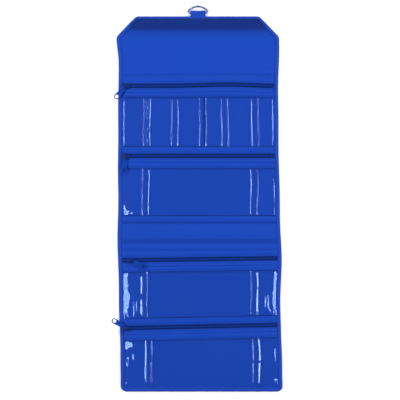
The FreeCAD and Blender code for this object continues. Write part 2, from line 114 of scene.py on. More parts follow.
# Each part of the case that bends: its bodies, where it bends, and the stretch of the case it covers
STRETCHES = {
    "flap_end": {
        "bodies": ("flap_base", "flap_end"), "bend": (CREASE - TURN / 2, CREASE + TURN / 2),
        "reach": ((CREASE + FLAP_FOLD) / 2, TOP), "stands_for": ("flap_end", "flap_base"),
    },
    "flap_base": {
        "bodies": ("upper_panel", "flap_base"), "bend": (FLAP_FOLD - 0.5, FLAP_FOLD + TURN),
        "reach": (down(200.0), (CREASE + FLAP_FOLD) / 2), "stands_for": ("upper",),
    },
    "spine": {
        "bodies": ("upper_panel", "spine"), "bend": (UPPER_FOLD + 0.5, UPPER_FOLD - TURN),
        "reach": ((UPPER_FOLD + LOWER_FOLD) / 2, down(200.0)), "stands_for": ("spine",),
    },
    "lower": {
        "bodies": ("spine", "lower_panel"), "bend": (LOWER_FOLD + TURN, LOWER_FOLD - 0.5),
        "reach": (BOTTOM, (UPPER_FOLD + LOWER_FOLD) / 2), "stands_for": ("lower",),
    },
}


def bend(piece, stretch):
    """Bakes a piece's placement into its mesh."""
    a, b = STRETCHES[stretch]["bodies"]
    start, end = STRETCHES[stretch]["bend"]
    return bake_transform(piece, a, b, (0, start * MM, 0), (0, end * MM, 0))


def zip_line(k):
    """The middle of zip k and the rise of its line per unit along X."""
    low, high = span(f"pocket_{k}_zip_coil")
    slide = next(j for j in frame["joints"] if j["name"] == f"zip_{k}_slide")
    return (low + high) / 2, slide["axis"][1] / slide["axis"][0]


def edges(node, upper_slope=0.0, lower_slope=0.0):
    """The upper and lower edge of a pocket piece, each as its Y on the centre line and its slope."""
    low, high = span(node)
    return (high.y - upper_slope * high.x, upper_slope), (low.y + lower_slope * high.x, lower_slope)


def smooth(value):
    """0 to 1 with level ends, for values that pass outside 0 to 1."""
    t = np.clip(value, 0.0, 1.0)
    return t * t * (3 - 2 * t)


def hump(value, centre, width):
    """A soft bump of height 1 about a centre."""
    return np.exp(-(((value - centre) / width) ** 2))


def near_park(x):
    """0 over the middle of a zip and 1 out where its slider stands at a limit."""
    return smooth((x - 88.0) / 14.0)


def settled(points):
    """The flat, straight case as it really lies: edges a little uneven, a puffed flap end and a dip in
    the spine. What touches the table stays on it, and the cloth lies plain beside a parked slider."""
    x, y, z = np.array(points, float).T
    sag = TOP - y
    side = smooth((np.abs(x) - 60.0) / 55.0) * np.sign(x)
    sway = 3.6 * smooth((-35.0 - y) / 240.0) + 0.25 * np.sin(y / 31.0)
    wave = side * (0.45 * np.sin(y / 17.0 + side) + 0.35 * np.sin(y / 41.0 + 2.0 * side))
    right = 0.7 + 0.6 * smooth((110.0 - y) / 60.0) + 3.4 * hump(y, -80.0, 60.0)
    right += 1.6 * smooth((-200.0 - y) / 50.0)
    left = 1.7 * hump(y, 160.0, 45.0) - 2.4 * smooth((y - 205.0) / 35.0)
    left += 0.9 * smooth((-235.0 - y) / 40.0)
    wave += np.where(side > 0.0, right, left) * np.abs(side)
    bow = 2.0 * hump(x, 42.0, 46.0) * hump(sag, 104.0, 14.0)
    inner = 1.0 - smooth((np.abs(x) - 96.0) / 20.0)
    end_puff = 2.2 * smooth((sag + 1.0) / 8.0) * (1.0 - smooth((sag - 7.0) / 27.0))
    dip = -1.8 * hump(sag, 340.3, 4.4) * (0.25 + 0.75 * inner * smooth((x + 108.0) / 40.0))
    ridge = 0.5 * hump(sag, 346.4, 1.8) * inner
    billow = 0.35 * hump(sag, 322.0, 7.0) * inner
    ripple = 0.10 * np.sin(x / 23.0 + y / 37.0) + 0.08 * np.sin(x / 11.0 - y / 29.0 + 1.3)
    parked = near_park(np.abs(x))
    ripple = ripple * (1.0 - parked) - 0.14 * parked
    wrinkle = 0.22 * (hump(sag, 84.0, 1.6) - hump(sag, 81.0, 1.4)) * smooth((x + 60.0) / 80.0)
    lift = end_puff + dip + ridge + billow + ripple + wrinkle
    raised = z + lift * np.clip(z / EDGE_TOP, 0.0, 1.0)
    return np.column_stack([x + sway + wave, y + bow * (1.0 - parked), raised])


def drooped(x):
    """How far a pocket front comes down where it is sewn in under the side binding."""
    return -1.75 * smooth((np.abs(x) - 109.0) / (POCKET_HALF - 109.0))


# Meshes

def clear_selection():
    """Leaves nothing selected, so that the next operator works on the new piece alone."""
    if bpy.context.object and bpy.context.object.mode != "OBJECT":
        bpy.ops.object.mode_set(mode="OBJECT")
    bpy.ops.object.select_all(action="DESELECT")


def pick(piece):
    """Makes a piece the only selected and the active one."""
    clear_selection()
    piece.select_set(True)
    bpy.context.view_layer.objects.active = piece
    return piece


@contextmanager
def editing():
    """Edit mode on the active piece, with all of it selected."""
    bpy.ops.object.mode_set(mode="EDIT")
    bpy.ops.mesh.select_all(action="SELECT")
    yield
    bpy.ops.object.mode_set(mode="OBJECT")


def new_piece(name, points, faces, flat=None):
    """A mesh from points in millimetres. flat holds each point's place on the cloth, in millimetres too."""
    mesh = bpy.data.meshes.new(name)
    mesh.from_pydata([tuple(p) for p in np.array(points) * MM], [], faces)
    mesh.update()
    lay = np.array(points)[:, :2] * MM if flat is None else np.array(flat) * MM
    cloth = mesh.uv_layers.new(name="cloth")
    corners = np.zeros(len(mesh.loops), np.int32)
    mesh.loops.foreach_get("vertex_index", corners)
    cloth.data.foreach_set("uv", lay[corners].astype(np.float32).ravel())
    piece = bpy.data.objects.new(name, mesh)
    bpy.context.scene.collection.objects.link(piece)
    return piece


def face_out(piece):
    """Turns every face of a closed piece outwards."""
    work = bmesh.new()
    work.from_mesh(piece.data)
    bmesh.ops.recalc_face_normals(work, faces=work.faces)
    work.to_mesh(piece.data)
    work.free()
    return piece


def soften(piece, degrees=38.0):
    """Smooth shading that keeps the edges sharper than an angle."""
    pick(piece)
    bpy.ops.object.shade_smooth_by_angle(angle=math.radians(degrees))
    return piece


def grid_faces(rows, columns, start=0, turned=False):
    """Four-sided faces over a grid of points stored row by row."""
    found = []
    for r in range(rows - 1):
        for c in range(columns - 1):
            a = start + r * columns + c
            quad = (a, a + 1, a + columns + 1, a + columns)
            found.append(tuple(reversed(quad)) if turned else quad)
    return found


def loft(name, rings, flats=None):
    """A closed skin through rings of points, with flat ends."""
    count = len(rings[0])
    faces = []
    for r in range(len(rings) - 1):
        for c in range(count):
            a, b = r * count + c, r * count + (c + 1) % count
            faces.append((a, b, b + count, a + count))
    faces.append(tuple(range(count)))
    last = (len(rings) - 1) * count
    faces.append(tuple(last + c for c in reversed(range(count))))
    flat = None if flats is None else np.concatenate(flats)
    return face_out(new_piece(name, np.concatenate(rings), faces, flat))


def joined(pieces, name):
    """Several pieces made one mesh."""
    clear_selection()
    for piece in pieces:
        piece.select_set(True)
    bpy.context.view_layer.objects.active = pieces[0]
    bpy.ops.object.join()
    pieces[0].name = name
    pieces[0].data.name = name
    return pieces[0]


def repeated(name, pattern, places):
    """Copies of a small pattern mesh at many places, each place an (x, y, z, turn) in millimetres."""
    base = np.array([v.co for v in pattern.data.vertices], float) / MM
    shape = [tuple(p.vertices) for p in pattern.data.polygons]
    points, faces = [], []
    for n, (x, y, z, turn) in enumerate(places):
        c, s = math.cos(turn), math.sin(turn)
        across = base[:, 0] * c - base[:, 1] * s
        along = base[:, 0] * s + base[:, 1] * c
        points.append(np.column_stack([across, along, base[:, 2]]) + (x, y, z))
        faces += [tuple(v + n * len(base) for v in face) for face in shape]
    return new_piece(name, np.concatenate(points), faces)


def cad_copy(node, name, bevel, segments=2):
    """The node's own shape with merged points and softened edges, to stand in its place."""
    source = frame["nodes"][node]
    piece = bpy.data.objects.new(name, source.data.copy())
    piece.data.name = name
    piece.data.materials.clear()
    bpy.context.scene.collection.objects.link(piece)
    pick(piece)
    with editing():
        bpy.ops.mesh.remove_doubles(threshold=0.00001)
        bpy.ops.mesh.dissolve_limited(angle_limit=math.radians(1.0))
    if bevel:
        rounded = piece.modifiers.new("rounded", "BEVEL")
        rounded.width = bevel * MM
        rounded.segments = segments
        rounded.limit_method = "ANGLE"
        rounded.angle_limit = math.radians(40.0)
        rounded.harden_normals = False
        bpy.ops.object.modifier_apply(modifier="rounded")
    return soften(piece)


def rounded_block(sides, bevel, segments, place=(0.0, 0.0, 0.0)):
    """A block with rounded edges and its middle at a place, in millimetres."""
    clear_selection()
    bpy.ops.mesh.primitive_cube_add(size=MM, location=[v * MM for v in place])
    block = bpy.context.object
    with editing():
        bpy.ops.transform.resize(value=sides)
        bpy.ops.mesh.bevel(offset=bevel * MM, segments=segments, affect="EDGES")
    bpy.ops.object.transform_apply(location=True, rotation=True, scale=True)
    return block


def lengths_along(path):
    """How far along a path each of its points lies."""
    return np.concatenate([[0.0], np.cumsum(np.linalg.norm(np.diff(path, axis=0), axis=1))])


# Materials

DULL = {"Sheen_Roughness": 0.4, "Specular_IOR_Level": 0.12}


class Signal:
    """One output of a finish's nodes. Sums on it add Math nodes."""

    def __init__(self, finish, socket):
        self.finish = finish
        self.socket = socket

    def _sum(self, operation, *terms):
        node = self.finish.node("ShaderNodeMath", {"operation": operation}, dict(enumerate(terms)))
        return Signal(self.finish, node.outputs[0])

    def __add__(self, other):
        return self._sum("ADD", self, other)

    __radd__ = __add__

    def __sub__(self, other):
        return self._sum("SUBTRACT", self, other)

    def __rsub__(self, other):
        return self._sum("SUBTRACT", other, self)

    def __mul__(self, other):
        return self._sum("MULTIPLY", self, other)

    __rmul__ = __mul__

    def sine(self):
        return self._sum("SINE", self)

    def size(self):
        return self._sum("ABSOLUTE", self)

    def within(self, low, high):
        """0 below low, 1 above high and smooth between them."""
        node = self.finish.node(
            "ShaderNodeMapRange", {"interpolation_type": "SMOOTHSTEP"},
            {"Value": self, "From Min": low, "From Max": high},
        )
        return Signal(self.finish, node.outputs[0])


class Finish:
    """A material of one Principled shader, with the nodes that feed it."""

    def __init__(self, name, **constants):
        self.material = bpy.data.materials.new(name)
        self.material.use_nodes = True
        self.tree = self.material.node_tree
        self.tree.nodes.clear()
        self.shader = self.node("ShaderNodeBsdfPrincipled")
        self.node("ShaderNodeOutputMaterial", inputs={"Surface": self.shader.outputs[0]})
        for key, value in constants.items():
            self.shader.inputs[key.replace("_", " ")].default_value = value

    def node(self, kind, settings=None, inputs=None):
        """A node with its settings made first, then the values or links of its sockets."""
        made = self.tree.nodes.new(kind)
        for key, value in (settings or {}).items():
            setattr(made, key, value)
        for key, value in (inputs or {}).items():
            if isinstance(value, Signal):
                self.tree.links.new(value.socket, made.inputs[key])
            elif isinstance(value, bpy.types.NodeSocket):
                self.tree.links.new(value, made.inputs[key])
            else:
                made.inputs[key].default_value = value
        return made

    def feed(self, key, value):
        """Links what changes over the surface to the shader."""
        self.tree.links.new(value.socket if isinstance(value, Signal) else value, self.shader.inputs[key])

    def cloth(self):
        """Across and along the cloth, in metres, from the piece's own map."""
        place = self.node("ShaderNodeUVMap", {"uv_map": "cloth"})
        apart = self.node("ShaderNodeSeparateXYZ", inputs={0: place.outputs[0]})
        return Signal(self, apart.outputs[0]), Signal(self, apart.outputs[1])

    def place(self):
        """The object coordinates."""
        return self.node("ShaderNodeTexCoord").outputs["Object"]

    def noise(self, scale, detail=2.0, vector=None, stretch=(1.0, 1.0, 1.0)):
        """Soft random patches between 0 and 1."""
        where = self.node("ShaderNodeMapping", inputs={"Vector": vector or self.place(), "Scale": stretch})
        node = self.node(
            "ShaderNodeTexNoise", {"noise_dimensions": "3D"},
            {"Vector": where.outputs[0], "Scale": scale, "Detail": detail},
        )
        return Signal(self, node.outputs["Fac"])

    def mixed(self, share, first, second):
        """A colour between two colours."""
        node = self.node("ShaderNodeMix", {"data_type": "RGBA"}, {0: share, 6: first, 7: second})
        return node.outputs[2]

    def paint_shade(self, share, colour):
        """Paints shade: turns the shader's colour towards a darker one."""
        tone = self.shader.inputs["Base Color"].links[0].from_socket
        self.feed("Base Color", self.mixed(share, tone, colour))

    def plain_weave(self, across, along, thread):
        """Threads over and under each other, as a height between 0 and 1."""
        turn = math.pi / (thread * MM)
        return (across * turn).sine() * (along * turn).sine() * 0.5 + 0.5

    def bumped(self, height, depth, strength=1.0):
        """Feeds a height between 0 and 1 to the normal, over a depth in metres."""
        node = self.node("ShaderNodeBump", inputs={"Height": height, "Distance": depth, "Strength": strength})
        self.feed("Normal", node.outputs[0])


def shade(colour, factor):
    """A colour times a factor, opaque."""
    return tuple(c * factor for c in colour[:3]) + (1.0,)


def woven(name, colour, thread, depth, roughness, sheen, twill=False):
    """Plain or twill cloth in one colour, with its threads and a little unevenness."""
    finish = Finish(name, Roughness=roughness, Sheen_Weight=sheen, **DULL)
    across, along = finish.cloth()
    if twill:
        turn = math.pi / (thread * MM)
        weave = ((across + along) * turn).sine() * 0.5 + (across * turn * 2.0).sine() * 0.2 + 0.5
    else:
        weave = finish.plain_weave(across, along, thread)
    slub = finish.noise(900.0, 3.0, stretch=(1.0, 0.12, 1.0))
    cloud = finish.noise(14.0, 3.0)
    light = weave * 0.10 + slub * 0.22 + cloud * 0.30 + 0.17
    finish.feed("Base Color", finish.mixed(light, shade(colour, 0.86), shade(colour, 1.12)))
    finish.feed("Roughness", slub * 0.12 + (roughness - 0.06))
    finish.bumped(weave * 0.8 + slub * 0.5, depth * MM, 0.6)
    return finish


def panel_cloth(look):
    """The cloth of the panels, with a painted shade over the puffed flap end and in the spine's dip."""
    finish = Finish("panel_cloth", Roughness=0.6, Sheen_Weight=0.02, **DULL)
    across, along = finish.cloth()
    weave = finish.plain_weave(across, along, look.thread)
    slub = finish.noise(700.0, 3.0, stretch=(0.15, 1.0, 1.0))
    cloud = finish.noise(9.0, 3.0)
    light = weave * 0.10 + slub * 0.20 + cloud * 0.32 + 0.18
    plain = finish.mixed(light, shade(look.fabric, 0.88), shade(look.fabric, 1.10))
    # Painted shade: the cloth turns darker over the puffed flap end and in the spine's dip, where these face
    # away from the light.
    end = along.within(down(25.0) * MM, down(17.0) * MM) * 0.66
    end = end + along.within(down(38.0) * MM, down(20.0) * MM) * 0.24
    dip = (1.0 - (along - down(338.5) * MM).size().within(0.002, 0.006)) * 0.24
    finish.feed("Base Color", finish.mixed(end + dip, plain, shade(look.fabric, 0.36)))
    finish.feed("Roughness", slub * 0.12 + 0.54)
    finish.bumped(weave * 0.8 + slub * 0.5, 0.00008, 0.6)
    return finish


def ribbed(name, colour, rib, depth, roughness):
    """Ribbed tape: fine ridges across its length, with a flat selvedge."""
    finish = Finish(name, Roughness=roughness, Sheen_Weight=0.03, Sheen_Roughness=0.4, Specular_IOR_Level=0.2)
    along = finish.cloth()[1]
    ridge = (along * (2 * math.pi / (rib * MM))).sine() * 0.5 + 0.5
    slub = finish.noise(800.0, 2.0)
    light = ridge * 0.30 + slub * 0.40 + 0.10
    finish.feed("Base Color", finish.mixed(light, shade(colour, 0.82), shade(colour, 1.15)))
    finish.feed("Roughness", slub * 0.15 + (roughness - 0.07))
    finish.bumped(ridge + slub * 0.4, depth * MM, 0.7)
    return finish


def edge_tape(look):
    """The binding's ribbed tape, with a painted shade over its inner part along the puffed flap end."""
    finish = ribbed("edge_tape", look.trim, 0.8, 0.06, 0.6)
    apart = finish.node("ShaderNodeSeparateXYZ", inputs={0: finish.place()})
    # Painted shade: the tape's inner part darkens along the flap end, where the puffed cloth falls in shade.
    end = Signal(finish, apart.outputs[1]).within(down(20.0) * MM, down(10.0) * MM)
    inner = 1.0 - finish.cloth()[0].within(0.0068, 0.0092)
    finish.paint_shade(end * inner * 0.75, shade(look.trim, 0.3))
    return finish


def zip_cloth(look):
    """The zip's herringbone tape, with a painted shadow along the cord of its coil."""
    finish = woven("zip_cloth", look.zip_tape, 0.5, 0.1, 0.7, 0.0, twill=True)
    # Painted shadow: a dark strip on the tape right beside the coil's teeth.
    cord_shadow = 1.0 - (finish.cloth()[0] - 0.0019).size().within(0.0005, 0.0009)
    finish.paint_shade(cord_shadow, shade(look.zip_tape, 0.22))
    return finish


def nylon(name, colour):
    """The dull, slightly uneven plastic of a coil."""
    finish = Finish(name, Roughness=0.55, Specular_IOR_Level=0.1)
    finish.feed("Base Color", finish.mixed(finish.noise(350.0, 3.0), shade(colour, 0.8), shade(colour, 1.2)))
    finish.feed("Roughness", finish.noise(800.0, 2.0) * 0.15 + 0.5)
    return finish


def enamelled(name, colour):
    """Painted metal, worn a little brighter where it is rubbed."""
    finish = Finish(name, Roughness=0.35, Coat_Weight=0.08, Coat_Roughness=0.2, Specular_IOR_Level=0.2)
    worn = finish.noise(420.0, 4.0).within(0.58, 0.75)
    finish.feed("Base Color", finish.mixed(worn * 0.5, shade(colour, 0.8), shade(colour, 1.5)))
    finish.feed("Roughness", finish.noise(300.0, 3.0) * 0.2 + 0.22)
    finish.bumped(finish.noise(1500.0, 2.0), 0.00003, 0.4)
    return finish


def plated(name, colour, roughness):
    """Bright plated wire or plate with fine draw marks."""
    finish = Finish(name, Metallic=1.0, Roughness=roughness)
    marks = finish.noise(600.0, 4.0, stretch=(1.0, 6.0, 1.0))
    finish.feed("Base Color", finish.mixed(marks, shade(colour, 0.85), shade(colour, 1.05)))
    finish.feed("Roughness", marks * 0.14 + (roughness - 0.05))
    finish.bumped(marks, 0.00002, 0.3)
    return finish


def clear_film(look):
    """Clear soft vinyl: nearly all of the light goes through, and what doesn't is a sharp reflection. Where
    its pleats lie three layers deep it takes the colour of the cloth beneath, and beside each pleat it
    carries a painted shadow in the same way."""
    finish = Finish("clear_film", Metallic=1.0, Roughness=0.09)
    haze = finish.noise(60.0, 3.0)
    # The layers attribute turns the film towards a dark cloth tone and makes it less clear: a little for the
    # real extra layers of a pleat, more for a painted shadow beside it.
    layers = Signal(finish, finish.node("ShaderNodeAttribute", {"attribute_name": "layers"}).outputs["Fac"])
    clear = finish.mixed(haze, shade(look.film, 0.92), shade(look.film, 1.05))
    finish.feed("Base Color", finish.mixed(layers, clear, shade(look.fabric, 0.3)))
    finish.feed("Alpha", layers * 0.42 + look.film_share)
    finish.feed("Roughness", haze * 0.05 + 0.06)
    finish.bumped(finish.noise(160.0, 2.0), 0.0002, 0.35)
    return finish


def material(name):
    """One of the case's materials, made when it is first used."""
    found = bpy.data.materials.get(name)
    if found:
        return found
    look = bpy.context.scene.case_look
    makers = {
        "panel_cloth": lambda: panel_cloth(look),
        "pocket_cloth": lambda: woven("pocket_cloth", look.fabric, look.thread, 0.08, 0.55, 0.02),
        "edge_tape": lambda: edge_tape(look),
        "zip_cloth": lambda: zip_cloth(look),
        "coil_nylon": lambda: nylon("coil_nylon", look.coil),
        # A darkened copy of the cloth's tone, for the bead that paints the shadow under each hem.
        "hem_shadow_nylon": lambda: nylon("hem_shadow_nylon", shade(look.fabric, 0.3)),
        # A half-bright copy of the tabs' enamel for the sliders and links: painted shade for the dark of
        # their small recesses.
        "shaded_slider_enamel": lambda: enamelled("shaded_slider_enamel", shade(look.enamel, 0.5)),
        "pull_enamel": lambda: enamelled("pull_enamel", look.enamel),
        "hanger_tape": lambda: ribbed("hanger_tape", look.trim, 1.1, 0.15, 0.65),
        "thread": lambda: ribbed("thread", look.thread_colour, 0.5, 0.05, 0.6),
        "ring_plate": lambda: plated("ring_plate", look.metal, 0.14),
        "magnet_steel": lambda: plated("magnet_steel", look.metal, 0.35),
        "clear_film": lambda: clear_film(look),
    }
    return makers[name]().material


def dressed(piece, finish):
    """Gives a piece its material."""
    piece.data.materials.clear()
    piece.data.materials.append(material(finish))
    return piece


# Panels

def pad_half(y):
    """Half the width of the padding at a height, inside the bound edge and its cut corners."""
    sag = TOP - y
    slant = CUT_ACROSS / CUT_DOWN
    run = math.hypot(CUT_ACROSS, CUT_DOWN)
    corner = EDGE_HALF - CUT_ACROSS - BINDING_WIDTH * CUT_DOWN / run
    start = BINDING_WIDTH * CUT_ACROSS / run
    return np.minimum(SHEET_HALF, corner + (sag - start) * slant)


def pad_rows(low, high, step):
    """Heights from low to high, closer together round the folds and the spine's dip."""
    marks = [CREASE, FLAP_FOLD, UPPER_FOLD, LOWER_FOLD, down(341.0)]
    heights = [low]
    while heights[-1] < high - 0.4:
        near = min(abs(heights[-1] - m) for m in marks)
        heights.append(min(high, heights[-1] + (step * 0.35 if near < 11.0 else step)))
    return heights


def padded_panel(name, low, high, settings):
    """A quilted slab between two heights: cloth over foam, pulled in along its sewn sides."""
    columns = settings.pad_columns
    share = np.sin(np.linspace(-math.pi / 2, math.pi / 2, columns))
    share = 0.65 * np.linspace(-1, 1, columns) + 0.35 * share
    tops, unders = [], []
    for y in pad_rows(low, high, settings.pad_step):
        x = share * pad_half(y)
        rim = (pad_half(y) - np.abs(x)) / 7.0
        puff = settings.puff * (1.0 - np.exp(-rim)) - 0.55 * np.exp(-rim * 3.2)
        pucker = 0.10 * np.exp(-rim * 1.6) * np.sin(y / 1.9 + np.sign(x))
        tops.append(np.column_stack([x, np.full(columns, y), PAD_TOP + puff + pucker]))
        unders.append(np.column_stack([x, np.full(columns, y), 0.25 * np.exp(-rim * 2.0)]))
    rows = len(tops)
    count = rows * columns
    faces = grid_faces(rows, columns) + grid_faces(rows, columns, count, turned=True)
    rim_points = (
        [(0, c) for c in range(columns)] + [(r, columns - 1) for r in range(1, rows)]
        + [(rows - 1, c) for c in reversed(range(columns - 1))]
        + [(r, 0) for r in reversed(range(1, rows - 1))]
    )
    for a, b in zip(rim_points, rim_points[1:] + rim_points[:1]):
        first, second = a[0] * columns + a[1], b[0] * columns + b[1]
        faces.append((first, first + count, second + count, second))
    points = np.concatenate(tops + unders)
    piece = face_out(new_piece(name, settled(points), faces, points[:, :2]))
    return soften(piece, 50.0)


# Bound edge

def rounded_path(corners, radii, step):
    """Evenly spaced points along straight runs joined by arcs, each with its direction."""
    corners = [np.array(c, float) for c in corners]
    points = []
    start = corners[0]
    for n in range(1, len(corners)):
        end = corners[n]
        if n < len(corners) - 1:
            into = (corners[n] - corners[n - 1]) / np.linalg.norm(corners[n] - corners[n - 1])
            out = (corners[n + 1] - corners[n]) / np.linalg.norm(corners[n + 1] - corners[n])
            angle = math.atan2(into[0] * out[1] - into[1] * out[0], into @ out)
            cut = radii[n - 1] * math.tan(abs(angle) / 2)
            end = corners[n] - into * cut
        run = np.linalg.norm(end - start)
        count = max(1, round(run / step))
        points += [start + (end - start) * k / count for k in range(count)]
        if n < len(corners) - 1:
            side = np.array([-into[1], into[0]]) * math.copysign(1.0, angle)
            centre = end + side * radii[n - 1]
            turns = max(3, round(radii[n - 1] * abs(angle) / (step * 0.5)))
            for k in range(turns):
                turn = angle * k / turns
                c, s = math.cos(turn), math.sin(turn)
                arm = end - centre
                points.append(centre + np.array([arm[0] * c - arm[1] * s, arm[0] * s + arm[1] * c]))
            start = corners[n] + out * cut
        else:
            points.append(end)
    points = np.array(points)
    ways = np.gradient(points, axis=0)
    return points, ways / np.linalg.norm(ways, axis=1)[:, None]


def edge_paths(stretch):
    """The outer edge of a stretch, walked so that the case is on the right-hand side."""
    low, high = STRETCHES[stretch]["reach"]
    if stretch == "flap_end":
        cut = EDGE_HALF - CUT_ACROSS
        return [([(-EDGE_HALF, low), (-EDGE_HALF, TOP - CUT_DOWN), (-cut, TOP), (cut, TOP),
                  (EDGE_HALF, TOP - CUT_DOWN), (EDGE_HALF, low)], [9.0, 7.0, 7.0, 9.0])]
    if stretch == "lower":
        return [([(EDGE_HALF, high), (EDGE_HALF, BOTTOM), (-EDGE_HALF, BOTTOM), (-EDGE_HALF, high)],
                 [BOTTOM_RADIUS, BOTTOM_RADIUS])]
    return [([(-EDGE_HALF, low), (-EDGE_HALF, high)], []), ([(EDGE_HALF, high), (EDGE_HALF, low)], [])]


BINDING_SECTION = (
    (6.0, 0.05), (6.05, 4.35), (5.9, 4.72), (5.5, 4.86), (5.05, 4.62), (4.6, 4.9), (3.2, 5.1), (1.7, 4.85),
    (0.7, 4.2), (0.1, 3.1), (0.1, 1.8), (0.7, 0.7), (1.7, 0.12), (3.2, 0.0),
)


def binding(stretch, step):
    """The tape folded over the edge of one stretch."""
    pieces = []
    around = lengths_along(BINDING_SECTION)
    for n, (corners, radii) in enumerate(edge_paths(stretch)):
        path, ways = rounded_path(corners, radii, step)
        lengths = lengths_along(path)
        inward = np.column_stack([ways[:, 1], -ways[:, 0]])
        rings, flats = [], []
        for point, side, length in zip(path, inward, lengths):
            wide = 1.0 + 0.03 * math.sin(length / 13.0 + n)
            ring = []
            for u, z in BINDING_SECTION:
                ring.append((point[0] + side[0] * u * wide, point[1] + side[1] * u * wide, z))
            rings.append(np.array(ring))
            flats.append(np.column_stack([around, np.full(len(around), length)]))
        shaped = [settled(ring) for ring in rings]
        pieces.append(loft(f"binding_{stretch}_{n}", shaped, flats))
    piece = joined(pieces, f"binding_{stretch}")
    return soften(piece, 60.0)


def stitch_pattern(length, width, height):
    """One stitch of thread, lying along X."""
    clear_selection()
    bpy.ops.mesh.primitive_uv_sphere_add(segments=6, ring_count=5, radius=0.5 * MM)
    stitch = bpy.context.object
    with editing():
        bpy.ops.transform.rotate(value=math.pi / 2, orient_axis="Y", center_override=(0, 0, 0))
        bpy.ops.transform.resize(value=(length, width, height))
    return stitch


def row_of_stitches(path, ways, height, pitch):
    """Places for stitches along a path of points."""
    lengths = lengths_along(path)
    places = []
    for at in np.arange(pitch / 2, lengths[-1], pitch):
        x, y = (np.interp(at, lengths, path[:, n]) for n in (0, 1))
        turn = math.atan2(np.interp(at, lengths, ways[:, 1]), np.interp(at, lengths, ways[:, 0]))
        spot = settled([(x, y, height)])[0]
        places.append((spot[0], spot[1], spot[2], turn))
    return places


# Pockets

def band_list():
    """Each cloth band across a pocket: its node, its upper and lower edge, and its panel."""
    rise_3, rise_4 = zip_line(3)[1], zip_line(4)[1]
    level, with_3, with_4 = (0.0, 0.0), (rise_3, rise_3), (rise_4, rise_4)
    slopes = {
        "pocket_1_header": level, "pocket_1_band": level, "pocket_1_hem": level,
        "pocket_2_band": level, "pocket_2_hem": level,
        "pocket_3_header": (0.0, rise_3), "pocket_3_band": with_3, "pocket_3_hem": with_4,
        "pocket_4_band": with_4,
    }
    return [
        (node, *edges(node, *pair), PANEL_OF_POCKET[int(node.split("_")[1])])
        for node, pair in slopes.items()
    ]


TUCK_DOWN = 6.2  # from a band's upper edge down to the fold of the zip's facing


def band_section(width, crown, tucked):
    """Points round a band: in from the lower edge, up over its stitched and crowned face and back. A tucked
    band has a fold below its upper edge, where the zip's facing ends."""
    half = width / 2
    face = [(-half, 0.45), (-half + 0.12, 0.82), (-half + 0.5, 1.0), (-half + 1.5, 1.06), (-half + 2.0, 0.9),
            (-half + 2.5, 1.08)]
    middle = [(s * (half - 2.5), 1.08 + crown * (1 - s * s)) for s in (-0.6, -0.2, 0.2, 0.6)]
    if tucked:
        fold = half - TUCK_DOWN
        middle = [(-half + 3.6, 1.0 + crown * 0.6), (fold - 1.4, 1.0 + crown * 0.7), (fold - 0.35, 0.62),
                  (fold, 0.5), (fold + 0.3, 1.1 + crown * 0.5), (half - 3.4, 1.15 + crown)]
    back = [(-u, z) for u, z in reversed(face)]
    return [(half - 0.15, 0.0), (-half + 0.15, 0.0)] + face + middle + back


def band(node, upper, lower, settings):
    """One folded strip of cloth across the case, drawn down at both ends into the side binding."""
    rings, flats = [], []
    for x in np.linspace(-POCKET_HALF, POCKET_HALF, settings.band_columns):
        high, low = upper[0] + upper[1] * x, lower[0] + lower[1] * x
        waver = 0.12 * math.sin(x / 9.0 + high) + 0.09 * math.sin(x / 3.7)
        waver *= 1.0 - float(near_park(x))
        crown = settings.crown * (1.0 + 0.35 * math.sin(x / 21.0 + low))
        ring = []
        for u, z in band_section(high - low, crown, node.endswith("_band")):
            ring.append((x, (high + low) / 2 + u + waver * 0.4, BAND_LOW + z + drooped(x)))
        rings.append(settled(ring))
        flats.append(np.array(ring)[:, :2])
    return soften(loft(f"{node}_cloth", rings, flats), 50.0)


def film_columns(k):
    """Places across a window, close together over its pleats and its sides."""
    places = set(np.round(np.linspace(-POCKET_HALF, POCKET_HALF, 91), 3))
    for centre in PLEATS[k]:
        places |= set(np.round(np.arange(centre - 7.0, centre + 7.01, 0.4), 3))
    for side in (-1, 1):
        places |= set(np.round(side * (POCKET_HALF - np.arange(0.0, 24.0, 0.7)), 3))
    ordered = sorted(places)
    kept = [ordered[0]]
    for x in ordered[1:]:
        if x - kept[-1] > 0.25:
            kept.append(x)
    kept[-1] = POCKET_HALF
    return np.array(kept)


# How each clear front is held. slope and run: steepness and width of its sides, left and right; stands:
# where along its height the left side stands up; hem: width of the seam along its sides; fold: height of
# its pleats; pleat: width of their outward slope; crumple: how much it is creased.
FILM = {
    1: {
        "slope": (0.27, 0.27), "run": (1.9, 1.7), "stands": (-1.0, 2.0), "hem": 1.5,
        "fold": 1.0, "pleat": 1.7, "crumple": 0.25,
    },
    2: {
        "slope": (0.20, 0.26), "run": (5.0, 1.6), "stands": (-1.0, 0.25), "hem": 1.0,
        "fold": 0.9, "pleat": 1.5, "crumple": 0.6,
    },
    3: {
        "slope": (0.275, 0.265), "run": (9.0, 5.0), "stands": (-1.0, 2.0), "hem": 0.2,
        "fold": 1.2, "pleat": 3.3, "crumple": 0.5,
    },
    4: {
        "slope": (0.275, 0.15), "run": (11.0, 6.0), "stands": (0.78, 2.0), "hem": 0.4,
        "fold": 1.1, "pleat": 2.7, "crumple": 0.4,
    },
}
# How much each pleat of a clear front is rumpled between its edges
RUMPLE = {1: (0.42, 0.05, 0.12, 0.05, 0.12), 2: (0.05, 0.08), 3: (0.07, 0.07), 4: (0.20, 0.08)}
# Loose creases in each clear front: place across, lean to the right at its foot, and reach along its height
CREASES = {
    1: (),
    2: ((-104.0, 20.0, 0.02, 0.2),),
    3: ((-96.0, -6.0, 0.02, 0.48), (100.0, 40.0, 0.03, 0.55)),
    4: ((-99.0, 0.0, 0.5, 0.76), (-107.0, 8.0, 0.4, 0.66), (108.0, 10.0, 0.03, 0.2)),
}


def ramp(t):
    """A straight rise from 0 to 1 with softened ends."""
    return 0.5 * (np.sqrt(t * t + 0.006) - np.sqrt((t - 1.0) ** 2 + 0.006) + 1.0)


